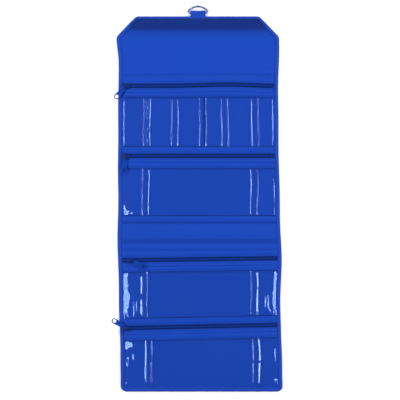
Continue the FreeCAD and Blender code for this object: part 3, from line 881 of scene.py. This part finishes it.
def film_height(k, x, v):
    """Height of the clear front at x, with v from 0 at its lower edge to 1 at its upper edge."""
    way = FILM[k]
    left = x < 0
    inward = POCKET_HALF - np.abs(x)
    low, high = way["stands"]
    stands = float(smooth((v - low) / 0.06 + 0.5) * smooth((high - v) / 0.06 + 0.5))
    slope = np.where(left, way["slope"][0] * (0.55 + 0.45 * stands), way["slope"][1])
    slope = slope * (1.0 + 0.05 * np.sin(v * 17.0 + 2.0 * k))
    waver = 1.0 + 0.20 * np.sin(v * 11.0 + k) + 0.10 * np.sin(v * 29.0 + 2.0 * k)
    run = np.where(left, *way["run"]) * waver
    side = slope * run * ramp((inward - way["hem"]) / run) + 0.9 * smooth((inward - 1.0) / 12.0) * (run < 5.5)
    fall = np.maximum(side - 1.3, 0.0) * smooth((inward - run) / 20.0)
    body = 0.22 * np.sin(x / 16.0 + k) * np.sin(v * 5.0 + k) + 0.07 * np.sin(x / 6.0 + v * 7.0)
    crumple = way["crumple"] * hump(v, 0.07, 0.07) * np.sin(x / 2.3 + 1.3 * k) * hump(inward, 16.0, 18.0)
    pleat = np.zeros_like(x)
    for n, centre in enumerate(PLEATS[k]):
        lean = x - centre + 0.6 * np.sin(v * 6.0 + n) - 0.3
        box = ramp((5.6 - np.abs(lean)) / np.where(lean * centre > 0.0, way["pleat"], 1.7))
        groove = 0.14 * hump(lean, 0.6 * math.sin(n * 2.1 + k), 0.5) * (1.0 - 0.4 * v)
        lively = RUMPLE[k][n]
        rumple = lively * hump(lean, 0.0, 3.6) * np.sin(v * (31.0 + 3.0 * n)) * np.cos(lean * 1.1)
        pleat = pleat + way["fold"] * (box - groove + rumple)
    flat = smooth(v / 0.10) * smooth((1.0 - v) / 0.10)
    for at, lean, low, high in CREASES[k]:
        line = x - at - lean * max(0.0, 0.22 - v)
        reach = float(smooth((v - low) / 0.08) * smooth((high - v) / 0.12))
        crumple = crumple + 1.1 * hump(line, 0.0, 2.6) * reach
    held = (side - fall) * (0.5 + 0.5 * flat) + pleat * (0.3 + 0.5 * flat)
    return PAD_TOP + 0.3 + held + (body + crumple) * flat


def window(k, upper, lower, settings):
    """The clear pleated front of one pocket."""
    x = film_columns(k)
    rows = settings.film_rows
    points = []
    for v in np.linspace(0.0, 1.0, rows):
        y = lower[0] + lower[1] * x + v * (upper[0] + upper[1] * x - lower[0] - lower[1] * x)
        height = np.minimum(film_height(k, x, v), 8.3)
        under = min(1.0, v * 14.0, (1.0 - v) * 14.0) if k < 4 else min(1.0, (1.0 - v) * 14.0, 0.35 + v * 14.0)
        height = np.minimum(height, BAND_LOW - 0.1 + drooped(x) + 3.5 * under)
        points.append(np.column_stack([x, y, height]))
    flat = np.concatenate(points)
    piece = new_piece(f"pocket_{k}_film", settled(flat), grid_faces(rows, len(x)), flat[:, :2])
    layers = np.zeros(len(flat))
    # Per point, the film darkens a little over each pleat, where it lies three layers deep, and more along a
    # painted shadow beside it, deepest beside the third pleat of the first front.
    for n, centre in enumerate(PLEATS[k]):
        lean = flat[:, 0] - centre
        dark = 1.0 if k == 1 and n == 2 else 0.35
        shadow_at = 3.0 if dark > 0.9 else 6.4
        layers += 0.10 * smooth((5.2 - np.abs(lean)) / 0.8) + dark * hump(lean, shadow_at, 1.0)
    shade_map = piece.data.attributes.new("layers", "FLOAT", "POINT")
    shade_map.data.foreach_set("value", np.clip(layers, 0.0, 1.0).astype(np.float32))
    return soften(piece, 180.0)


def hem_shadow_welt(k, lower):
    """A dark bead along the foot of a clear front, where it goes under its hem: a painted shadow of the hem's
    edge.
    """
    rings, flats = [], []
    section = [(0.0, -0.5), (0.9, -0.5), (1.15, -0.1), (0.9, 0.25), (0.3, 0.35), (0.0, 0.3)]
    for x in np.linspace(-POCKET_HALF + 0.6, POCKET_HALF - 0.6, 60):
        y = lower[0] + lower[1] * x
        waver = 0.25 * math.sin(x / 19.0 + k)
        ring = [(x, y + u + waver - 0.3, BAND_LOW + z + float(drooped(x))) for u, z in section]
        rings.append(settled(ring))
        flats.append(np.array(ring)[:, :2])
    return soften(loft(f"pocket_{k}_welt", rings, flats), 50.0)


# Zips

def on_zip(k, across, along, height):
    """A place on zip k: along its line, across it and above the table."""
    middle, rise = zip_line(k)
    turn = math.atan(rise)
    c, s = math.cos(turn), math.sin(turn)
    return middle.x + along * c - across * s, middle.y + along * s + across * c, height


def zip_tape(k, side, settings):
    """Half of the tape of a zip, with the cord that its teeth are sewn along."""
    flat_part = [(0.55, 0.0), (7.3, 0.0), (7.35, 0.3), (7.2, 0.5), (3.4, 0.44)]
    section = flat_part + [(2.9, 0.54), (2.4, 0.48), (0.55, 0.42)]
    rings, flats = [], []
    for along in np.linspace(-POCKET_HALF + 0.2, POCKET_HALF - 0.2, settings.band_columns):
        ring = []
        for u, z in section:
            x, y, height = on_zip(k, side * u, along, FRONT_LOW + z)
            ring.append((x, y, height + drooped(x)))
        rings.append(settled(ring))
        flats.append(np.column_stack([[u for u, _ in section], np.full(len(section), along)]))
    return loft(f"pocket_{k}_tape_{'upper' if side > 0 else 'lower'}", rings, flats)


def tooth_pattern(settings):
    """One turn of the coil seen from above: a short rounded bar across the zip."""
    sides = (settings.tooth_width, settings.tooth_length, settings.tooth_height)
    return rounded_block(sides, 0.27, 1)


def zip_coil(k, tooth, settings):
    """Both halves of the coil, closed tooth by tooth."""
    places = []
    reach = POCKET_HALF - 2.6
    count = int(2 * reach / settings.tooth_pitch)
    turn = math.atan(zip_line(k)[1])
    for n in range(count):
        for side in (1, -1):
            along = -reach + (n + (0.5 if side < 0 else 0.0)) * settings.tooth_pitch
            x, y, z = on_zip(k, side * (settings.tooth_length / 2 - 0.3), along, settings.tooth_middle)
            spot = settled([(x, y, z + drooped(x))])[0]
            places.append((*spot, turn + side * 0.12))
    return soften(repeated(f"pocket_{k}_teeth", tooth, places), 50.0)


def zip_stop(k):
    """The wire stop crimped across the right-hand end of a zip, just past the slider's last place."""
    x, y, z = on_zip(k, 0.0, POCKET_HALF - 0.35, 6.9)
    spot = settled([(x, y, z + float(drooped(x)))])[0]
    stop = rounded_block((0.6, 5.2, 1.7), 0.2, 3, spot)
    stop.name = f"pocket_{k}_end_stop"
    return soften(stop)


# Hanger

def hanger_tape():
    """The tape that is looped round the ring's bar and sewn down on the flap's end."""
    low, high = span("ring_webbing")
    half = high.x - 0.3
    middle_z = high.z / 2
    radius = middle_z - 0.7
    middle_y = high.y - middle_z
    line = [(TOP - 3.0, middle_z + 0.6), (TOP + 0.2, middle_z + 0.8), (TOP + 1.4, middle_z + 1.5)]
    for turn in np.linspace(math.pi / 2, -math.pi / 2, 15):
        line.append((middle_y + radius * math.cos(turn), middle_z + radius * math.sin(turn)))
    line += [(TOP + 1.4, middle_z - 1.5), (TOP + 0.2, middle_z - 0.8), (TOP - 3.0, middle_z - 0.6)]
    line = np.array(line)
    ways = np.gradient(line, axis=0)
    ways /= np.linalg.norm(ways, axis=1)[:, None]
    lengths = lengths_along(line)
    section = [(-half, 0.0), (-half + 0.25, 0.5), (-half + 1.2, 0.62), (0.0, 0.66), (half - 1.2, 0.62),
               (half - 0.25, 0.5), (half, 0.0), (half - 0.25, -0.5), (0.0, -0.6), (-half + 0.25, -0.5)]
    rings, flats = [], []
    for (y, z), (wy, wz), length in zip(line, ways, lengths):
        ring = [(x, y - wz * u, z + wy * u) for x, u in section]
        rings.append(np.array(ring))
        flats.append(np.column_stack([[x for x, _ in section], np.full(len(section), length)]))
    return soften(loft("hanger_tape", rings, flats), 50.0)


# Settings

class CaseLook(bpy.types.PropertyGroup):
    """Colours of the case."""

    fabric: FloatVectorProperty(
        name="Fabric", description="Cloth of the panels and pocket bands", subtype="COLOR",
        default=(0.0056, 0.0620, 0.500), min=0, max=1)
    trim: FloatVectorProperty(
        name="Trim", description="Edge binding and hanger tape", subtype="COLOR",
        default=(0.0068, 0.0640, 0.515), min=0, max=1)
    zip_tape: FloatVectorProperty(
        name="Zip tape", description="Woven tape of the zips", subtype="COLOR",
        default=(0.0045, 0.042, 0.33), min=0, max=1)
    coil: FloatVectorProperty(
        name="Coil", description="Teeth of the zips", subtype="COLOR",
        default=(0.0045, 0.046, 0.36), min=0, max=1)
    enamel: FloatVectorProperty(
        name="Enamel", description="Sliders and pull tabs", subtype="COLOR",
        default=(0.004, 0.062, 0.48), min=0, max=1)
    thread_colour: FloatVectorProperty(
        name="Thread", description="Sewing thread", subtype="COLOR",
        default=(0.005, 0.030, 0.24), min=0, max=1)
    metal: FloatVectorProperty(
        name="Metal", description="Plating of the hanging ring", subtype="COLOR",
        default=(0.30, 0.37, 0.55), min=0, max=1)
    film: FloatVectorProperty(
        name="Film", description="Tone of the clear fronts' reflection", subtype="COLOR",
        default=(0.33, 0.52, 0.95), min=0, max=1)
    film_share: FloatProperty(
        name="Film strength", description="Share of the light that a clear front keeps", default=0.085,
        min=0, max=1, subtype="FACTOR")
    thread: FloatProperty(
        name="Thread spacing", description="Distance between the cloth's threads, in millimetres",
        default=0.35,
        min=0.1, max=2.0)


class CaseSizes(bpy.types.PropertyGroup):
    """Sizes of the soft pieces, in millimetres."""

    puff: FloatProperty(
        name="Puff", description="How far the padding stands up from its sewn edge",
        default=0.3, min=0, max=1)
    pad_step: FloatProperty(
        name="Pad spacing", description="Spacing of the padding's points", default=3.0, min=1, max=9)
    pad_columns: IntProperty(
        name="Pad columns", description="Points across the padding", default=84, min=20, max=200)
    binding_step: FloatProperty(
        name="Binding spacing", description="Spacing of the binding's sections", default=3.0, min=1, max=9)
    crown: FloatProperty(
        name="Crown", description="How far a band's middle stands up", default=0.35, min=0, max=1)
    band_columns: IntProperty(
        name="Band columns", description="Sections along a band", default=90, min=20, max=300)
    film_rows: IntProperty(
        name="Film rows", description="Rows of points in a clear front", default=46, min=10, max=90)
    stitch: FloatProperty(name="Stitch", description="Length of a stitch", default=2.7, min=1, max=6)
    stitch_pitch: FloatProperty(
        name="Stitch pitch", description="Distance between stitches", default=3.5, min=1, max=8)
    tooth_pitch: FloatProperty(
        name="Tooth pitch", description="Distance between teeth", default=1.4, min=0.5, max=3)
    tooth_width: FloatProperty(
        name="Tooth width", description="Width of a tooth", default=0.95, min=0.2, max=3)
    tooth_length: FloatProperty(
        name="Tooth length", description="Length across the zip", default=1.95, min=1, max=5)
    tooth_height: FloatProperty(
        name="Tooth height", description="Height of a tooth", default=1.15, min=0.3, max=3)
    tooth_middle: FloatProperty(
        name="Tooth middle", description="Height of the coil's middle", default=6.65, min=4, max=9)


class CaseStage(bpy.types.PropertyGroup):
    """Light and camera."""

    side_power: FloatProperty(
        name="Side lights", description="Power of each side light", default=8.6, min=0, unit="POWER")
    top_power: FloatProperty(
        name="Head light", description="Power of the light past the flap", default=10.5, min=0, unit="POWER")
    surround: FloatProperty(name="Surround", description="Brightness of the room", default=0.09, min=0, max=4)
    distance: FloatProperty(
        name="Distance", description="Height of the camera", default=1.672, min=0.5, unit="LENGTH")
    lens: FloatProperty(
        name="Lens", description="Focal length in millimetres", default=100.0, min=20, max=300)


# Operators

class CASE_OT_panels(bpy.types.Operator):
    """Builds the padded panels, one for each stretch of the case"""

    bl_idname = "case.panels"
    bl_label = "Padded panels"

    def execute(self, context):
        for stretch, facts in STRETCHES.items():
            low, high = facts["reach"]
            low = max(low, BOTTOM + BINDING_WIDTH)
            high = min(high, TOP - BINDING_WIDTH)
            panel = padded_panel(f"panel_{stretch}", low, high, context.scene.case_sizes)
            dressed(panel, "panel_cloth")
            bend(panel, stretch)
            for part in facts["stands_for"]:
                layers = [f"{part}_{layer}" for layer in ("shell", "foam", "lining")]
                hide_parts(*[n for n in frame["nodes"] if n in layers])
        return {"FINISHED"}


class CASE_OT_binding(bpy.types.Operator):
    """Builds the bound edge and its row of stitches"""

    bl_idname = "case.binding"
    bl_label = "Bound edge"

    def execute(self, context):
        sizes = context.scene.case_sizes
        stitch = stitch_pattern(sizes.stitch, 0.5, 0.4)
        for stretch, facts in STRETCHES.items():
            piece = binding(stretch, sizes.binding_step)
            dressed(piece, "edge_tape")
            bend(piece, stretch)
            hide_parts(*[f"{part}_binding" for part in facts["stands_for"]])
            places = []
            for corners, radii in edge_paths(stretch):
                path, ways = rounded_path(corners, radii, sizes.binding_step)
                inner = path + np.column_stack([ways[:, 1], -ways[:, 0]]) * 5.05
                places += row_of_stitches(inner, ways, 4.72, sizes.stitch_pitch)
            row = repeated(f"binding_stitches_{stretch}", stitch, places)
            dressed(soften(row, 180.0), "thread")
            bend(row, stretch)
        bpy.data.objects.remove(stitch)
        return {"FINISHED"}


class CASE_OT_bands(bpy.types.Operator):
    """Builds the cloth bands across the pockets and their stitches"""

    bl_idname = "case.bands"
    bl_label = "Pocket bands"

    def execute(self, context):
        sizes = context.scene.case_sizes
        stitch = stitch_pattern(sizes.stitch, 0.45, 0.35)
        places = {"upper_panel": [], "lower_panel": []}
        for node, upper, lower, body in band_list():
            piece = band(node, upper, lower, sizes)
            dressed(piece, "pocket_cloth")
            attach(piece, body)
            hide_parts(node)
            cut = max(NARROWEST_CUT, upper[0] - lower[0])
            cut * MM
            x = np.linspace(-POCKET_HALF + 1, POCKET_HALF - 1, 60)
            for (y, slope), side in ((upper, -1), (lower, 1)):
                line = np.column_stack([x, y + slope * x + side * 2.0])
                way = np.column_stack([np.ones(60), np.full(60, slope)])
                for spot in row_of_stitches(line, way, BAND_LOW + 0.98, sizes.stitch_pitch):
                    places[body].append((spot[0], spot[1], spot[2] + float(drooped(spot[0])), spot[3]))
        for body, spots in places.items():
            row = repeated(f"pocket_stitches_{body}", stitch, spots)
            dressed(soften(row, 180.0), "thread")
            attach(row, body)
        bpy.data.objects.remove(stitch)
        return {"FINISHED"}


class CASE_OT_windows(bpy.types.Operator):
    """Builds the clear pleated fronts of the pockets"""

    bl_idname = "case.windows"
    bl_label = "Clear fronts"

    def execute(self, context):
        rise_3, rise_4 = zip_line(3)[1], zip_line(4)[1]
        slopes = {1: (0.0, 0.0), 2: (0.0, 0.0), 3: (rise_3, rise_4), 4: (rise_4, 0.0)}
        for k, (upper_slope, lower_slope) in slopes.items():
            upper, lower = edges(f"pocket_{k}_window", upper_slope, lower_slope)
            piece = window(k, upper, lower, context.scene.case_sizes)
            dressed(piece, "clear_film")
            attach(piece, PANEL_OF_POCKET[k])
            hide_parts(f"pocket_{k}_window")
            (upper[0] - lower[0]) * MM
            # Along the foot of the first three fronts a dark bead paints the shadow under the hem.
            if k < 4:
                bead = hem_shadow_welt(k, edges(f"pocket_{k}_hem", lower_slope)[0])
                dressed(bead, "hem_shadow_nylon")
                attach(bead, PANEL_OF_POCKET[k])
        return {"FINISHED"}


class CASE_OT_zips(bpy.types.Operator):
    """Builds the zip tapes, coils and end stops"""

    bl_idname = "case.zips"
    bl_label = "Zips"

    def execute(self, context):
        sizes = context.scene.case_sizes
        tooth = tooth_pattern(sizes)
        for k, body in PANEL_OF_POCKET.items():
            tape = joined([zip_tape(k, side, sizes) for side in (1, -1)], f"pocket_{k}_tape")
            dressed(soften(tape, 50.0), "zip_cloth")
            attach(tape, body)
            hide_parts(f"pocket_{k}_zip_tape")
            teeth = zip_coil(k, tooth, sizes)
            dressed(teeth, "coil_nylon")
            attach(teeth, body)
            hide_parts(f"pocket_{k}_zip_coil")
            stop = zip_stop(k)
            dressed(stop, "pull_enamel")
            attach(stop, body)
        bpy.data.objects.remove(tooth)
        return {"FINISHED"}


# Each metal piece of a zip: its node, its body and how far its edges are rounded
PULL_PIECES = (("slider", "slider", 0.35), ("pull_link", "link", 0.18), ("pull_tab", "tab", 0.25))


class CASE_OT_pulls(bpy.types.Operator):
    """Builds the sliders, their links and the pull tabs"""

    bl_idname = "case.pulls"
    bl_label = "Sliders and pull tabs"

    def execute(self, context):
        for k in PANEL_OF_POCKET:
            for node, body, bevel in PULL_PIECES:
                name = f"pocket_{k}_{node}"
                piece = cad_copy(name, f"{name}_finished", bevel, 3)
                # Sliders and links take the half-bright enamel that paints their shade; tabs take the plain
                # one.
                dressed(piece, "pull_enamel" if node == "pull_tab" else "shaded_slider_enamel")
                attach(piece, f"{body}_{k}")
                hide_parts(name)
        return {"FINISHED"}


class CASE_OT_hanger(bpy.types.Operator):
    """Builds the hanging ring, its tape and the bar of stitches across it"""

    bl_idname = "case.hanger"
    bl_label = "Hanger"

    def execute(self, context):
        ring = cad_copy("hanging_ring", "hanging_ring_finished", 0.0)
        dressed(ring, "ring_plate")
        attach(ring, "ring")
        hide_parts("hanging_ring")
        tape = hanger_tape()
        dressed(tape, "hanger_tape")
        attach(tape, "flap_end")
        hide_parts("ring_webbing")
        stitch = stitch_pattern(2.6, 0.55, 0.45)
        places = []
        for n, x in enumerate(np.arange(-9.6, 9.7, 0.8)):
            spot = settled([(x, down(7.4), PAD_TOP + 0.05)])[0]
            places.append((*spot, math.pi / 2 + (0.22 if n % 2 else -0.22)))
        bar = repeated("hanger_stitches", stitch, places)
        bpy.data.objects.remove(stitch)
        dressed(soften(bar, 180.0), "thread")
        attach(bar, "flap_end")
        return {"FINISHED"}


class CASE_OT_magnets(bpy.types.Operator):
    """Gives the magnets inside the padding their steel finish"""

    bl_idname = "case.magnets"
    bl_label = "Magnets"

    def execute(self, context):
        for node in ("flap_magnets", "panel_magnets"):
            for place in frame["nodes"][node].material_slots:
                place.material = material("magnet_steel")
        return {"FINISHED"}


class CASE_OT_stage(bpy.types.Operator):
    """Sets the pale floor, the soft lights and the camera above the case"""

    bl_idname = "case.stage"
    bl_label = "Stage"

    def execute(self, context):
        stage = context.scene.case_stage
        clear_selection()
        bpy.ops.mesh.primitive_plane_add(size=8.0, location=(0, 0, -0.0003))
        floor = context.object
        floor.name = "floor"
        pale = Finish("floor_pale", Roughness=0.9, Specular_IOR_Level=0.1, Emission_Strength=0.35)
        pale.shader.inputs["Emission Color"].default_value = (1.0, 1.0, 1.0, 1.0)
        grain = pale.noise(40.0, 2.0)
        pale.feed("Base Color", pale.mixed(grain, (0.93, 0.93, 0.93, 1.0), (0.96, 0.96, 0.96, 1.0)))
        floor.data.materials.append(pale.material)
        lights = (
            ("side_left", (-0.82, -0.05, 1.02), 1.1, 0.24, stage.side_power),
            ("side_right", (0.82, -0.05, 1.02), 1.1, 0.24, stage.side_power),
            ("head", (0.0, 1.25, 0.95), 1.3, 0.5, stage.top_power),
        )
        for name, place, width, length, power in lights:
            lamp = bpy.data.lights.new(name, "AREA")
            lamp.shape = "RECTANGLE"
            lamp.size, lamp.size_y = width, length
            lamp.energy = power
            holder = bpy.data.objects.new(name, lamp)
            context.scene.collection.objects.link(holder)
            holder.location = place
            holder.rotation_euler = (-Vector(place)).to_track_quat("-Z", "Y").to_euler()
        world = bpy.data.worlds.new("room")
        world.use_nodes = True
        world.node_tree.nodes["Background"].inputs["Color"].default_value = (1.0, 1.0, 1.0, 1.0)
        world.node_tree.nodes["Background"].inputs["Strength"].default_value = stage.surround
        context.scene.world = world
        camera = bpy.data.objects.new("camera", bpy.data.cameras.new("camera"))
        context.scene.collection.objects.link(camera)
        camera.location = (0.003, -0.00225, stage.distance)
        camera.data.lens = stage.lens
        camera.data.sensor_width = 36.0
        context.scene.camera = camera
        context.scene.view_settings.view_transform = "Standard"
        return {"FINISHED"}


class CASE_PT_sidebar(bpy.types.Panel):
    """Lists the steps that build the case"""

    bl_idname = "CASE_PT_sidebar"
    bl_label = "Jewelry case"
    bl_space_type = "VIEW_3D"
    bl_region_type = "UI"
    bl_category = "Jewelry Case"

    def draw(self, context):
        for group in (context.scene.case_look, context.scene.case_sizes, context.scene.case_stage):
            box = self.layout.box()
            for key in group.bl_rna.properties.keys():
                if key not in ("rna_type", "name"):
                    box.prop(group, key)
        for step in STEPS:
            self.layout.operator(step.bl_idname)


STEPS = (
    CASE_OT_panels, CASE_OT_binding, CASE_OT_bands, CASE_OT_windows, CASE_OT_zips, CASE_OT_pulls,
    CASE_OT_hanger, CASE_OT_magnets, CASE_OT_stage,
)
GROUPS = {"case_look": CaseLook, "case_sizes": CaseSizes, "case_stage": CaseStage}


def register():
    for item in (*GROUPS.values(), *STEPS, CASE_PT_sidebar):
        bpy.utils.register_class(item)
    for key, group in GROUPS.items():
        setattr(bpy.types.Scene, key, PointerProperty(type=group))


def unregister():
    for key in GROUPS:
        delattr(bpy.types.Scene, key)
    for item in (CASE_PT_sidebar, *reversed(STEPS), *GROUPS.values()):
        bpy.utils.unregister_class(item)


def main():
    register()
    for step in STEPS:
        group, name = step.bl_idname.split(".")
        getattr(getattr(bpy.ops, group), name)()


if __name__ == "__main__":
    main()
